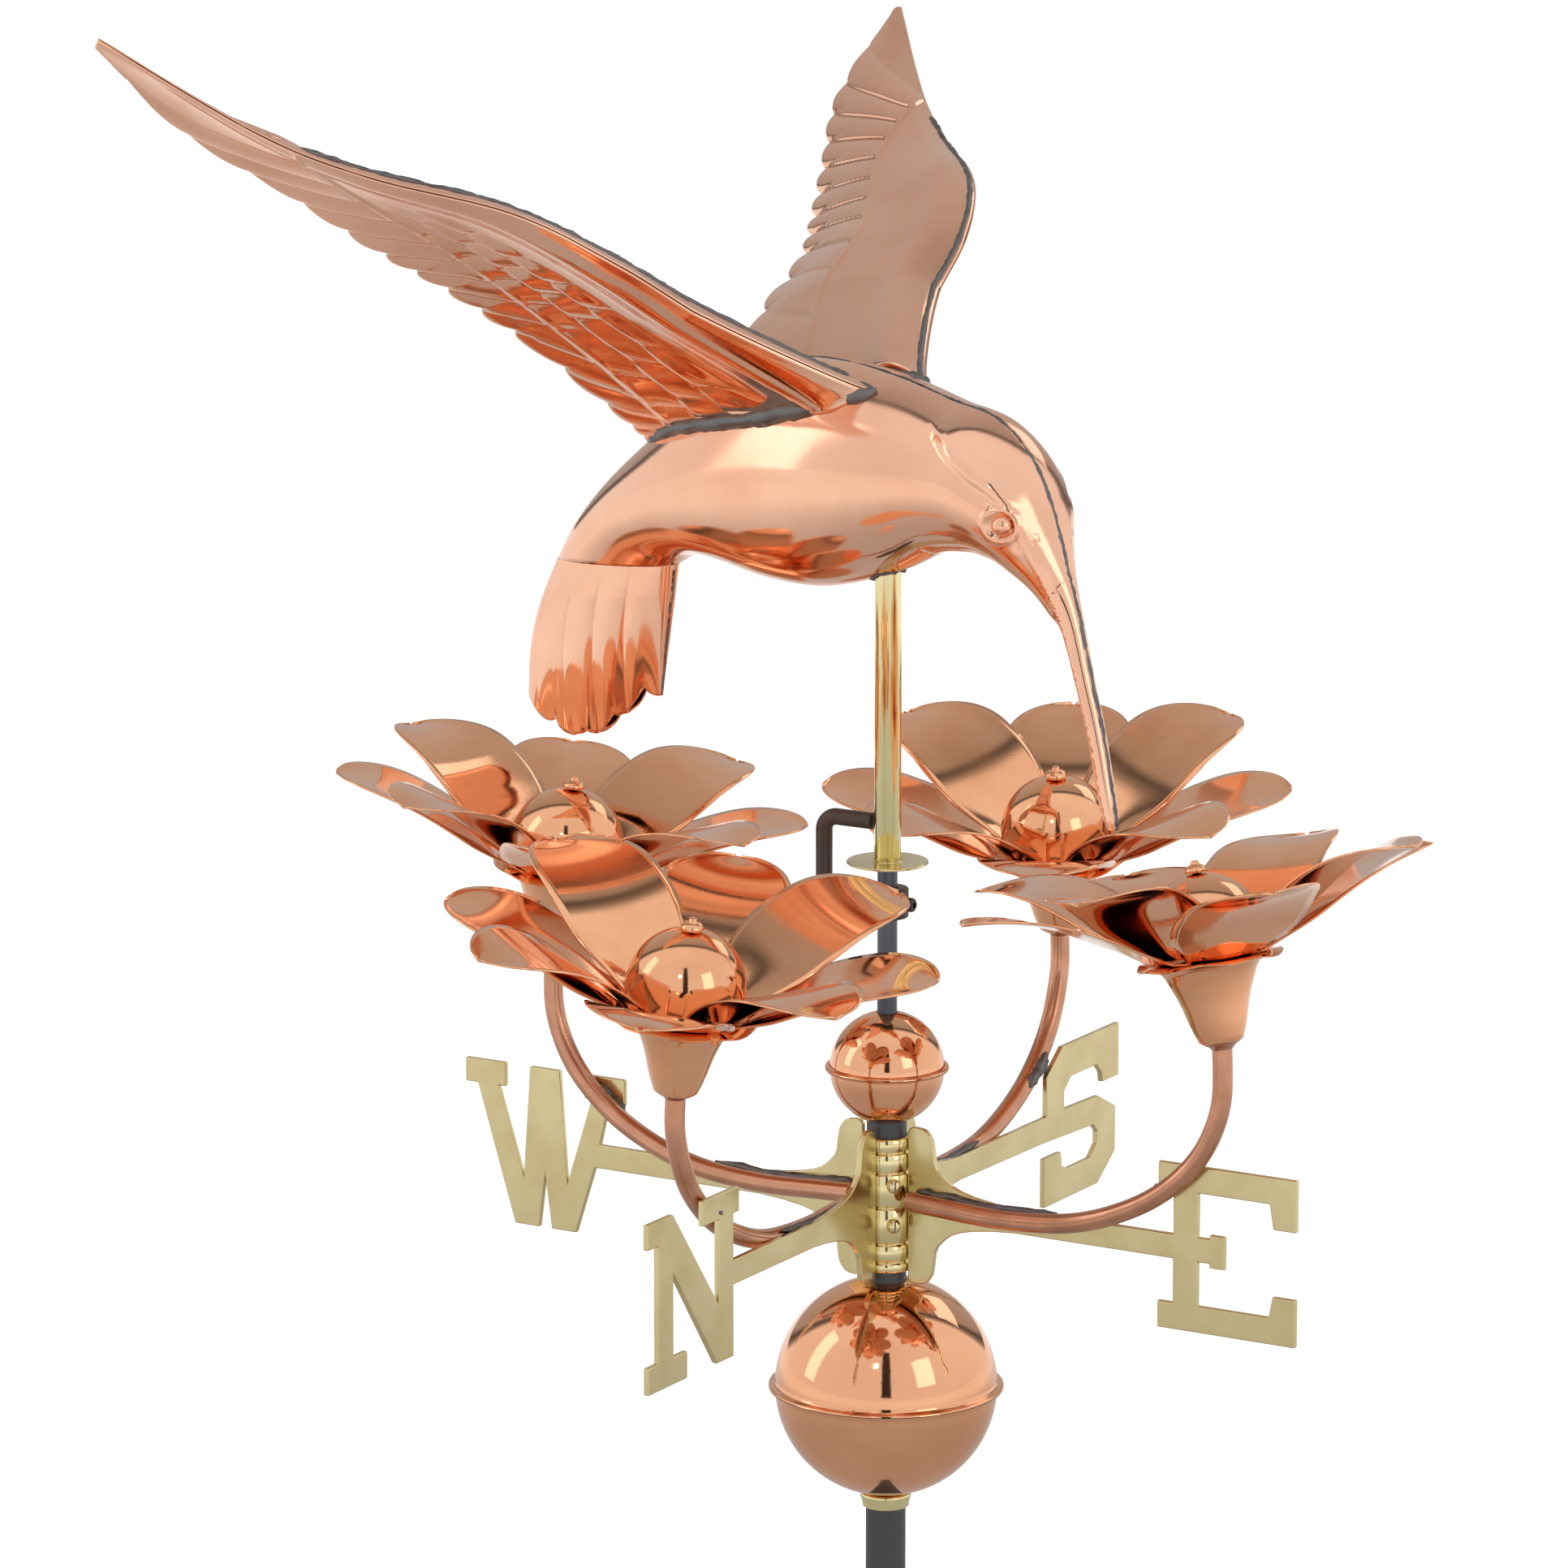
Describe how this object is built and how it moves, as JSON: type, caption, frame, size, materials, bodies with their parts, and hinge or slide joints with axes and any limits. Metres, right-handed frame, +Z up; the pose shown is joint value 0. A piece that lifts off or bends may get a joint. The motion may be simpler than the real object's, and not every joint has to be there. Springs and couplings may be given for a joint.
{
  "type": "weather vane",
  "caption": "Hummingbird weather vane in copper: the bird turns on a spindle above flowers on curved stems, brass compass letters and globes on a steel mast.",
  "frame": {"origin": "centre of the mast's lower end face", "axes": "+Z up along the mast; +X along the E arm, -Y along the N arm; the vane's joint value 0 is the heading in the picture, 12 degrees clockwise of +X seen from above"},
  "size_m": [0.5575, 0.6317, 0.8648],
  "materials": {
    "copper_bird": "mirror-polished copper sheet, soldered seams",
    "copper_flowers": "mirror-polished copper sheet",
    "copper_globes": "spun copper, mirror polished",
    "copper_stems": "drawn copper tube, bright",
    "brass_letters": "cast brass, satin polished",
    "brass_fittings": "brass, polished",
    "steel_mast": "grey coated steel tube, satin",
    "steel_pivot": "ground steel",
    "iron_retainer": "dark brown coated steel bar"
  },
  "bodies": {
    "mast": {"mast_tube": "steel_mast", "spindle_rod": "steel_mast", "spindle_bush": "steel_pivot", "mast_collar": "brass_fittings", "lower_globe_bottom": "copper_globes", "lower_globe_top": "copper_globes", "upper_globe_bottom": "copper_globes", "upper_globe_top": "copper_globes", "pivot_ball": "steel_pivot"},
    "compass": {"hub_barrel": "brass_fittings", "plate_n": "brass_letters", "plate_e": "brass_letters", "plate_s": "brass_letters", "plate_w": "brass_letters", "hub_screw_ne_upper": "brass_fittings", "hub_screw_ne_lower": "brass_fittings", "hub_screw_se_upper": "brass_fittings", "hub_screw_se_lower": "brass_fittings", "hub_screw_sw_upper": "brass_fittings", "hub_screw_sw_lower": "brass_fittings", "hub_screw_nw_upper": "brass_fittings", "hub_screw_nw_lower": "brass_fittings", "stem_n": "copper_stems", "stem_e": "copper_stems", "stem_s": "copper_stems", "stem_w": "copper_stems", "calyx_n": "copper_flowers", "calyx_e": "copper_flowers", "calyx_s": "copper_flowers", "calyx_w": "copper_flowers", "petals_lower_n": "copper_flowers", "petals_lower_e": "copper_flowers", "petals_lower_s": "copper_flowers", "petals_lower_w": "copper_flowers", "petals_upper_n": "copper_flowers", "petals_upper_e": "copper_flowers", "petals_upper_s": "copper_flowers", "petals_upper_w": "copper_flowers", "flower_ball_n": "copper_flowers", "flower_ball_e": "copper_flowers", "flower_ball_s": "copper_flowers", "flower_ball_w": "copper_flowers", "flower_button_n": "copper_flowers", "flower_button_e": "copper_flowers", "flower_button_s": "copper_flowers", "flower_button_w": "copper_flowers"},
    "vane": {"body_right": "copper_bird", "body_left": "copper_bird", "tail_right": "copper_bird", "tail_left": "copper_bird", "wing_right_top": "copper_bird", "wing_right_bottom": "copper_bird", "wing_left_top": "copper_bird", "wing_left_bottom": "copper_bird", "vane_tube": "brass_fittings", "tube_flange": "brass_fittings", "tube_plug": "steel_pivot"},
    "retainer": {"retainer_arm": "iron_retainer", "retainer_screw": "iron_retainer"}
  },
  "joints": [
    {"name": "compass_turn", "type": "hinge", "parent": "mast", "child": "compass", "pos_m": [0, 0, 0.3015], "axis": [0, 0, 1], "continuous": true},
    {"name": "retainer_turn", "type": "hinge", "parent": "mast", "child": "retainer", "pos_m": [0, 0, 0.447], "axis": [0, 0, 1], "continuous": true},
    {"name": "vane_spin", "type": "hinge", "parent": "mast", "child": "vane", "pos_m": [0, 0, 0.6543], "axis": [0, 0, 1], "continuous": true}
  ]
}
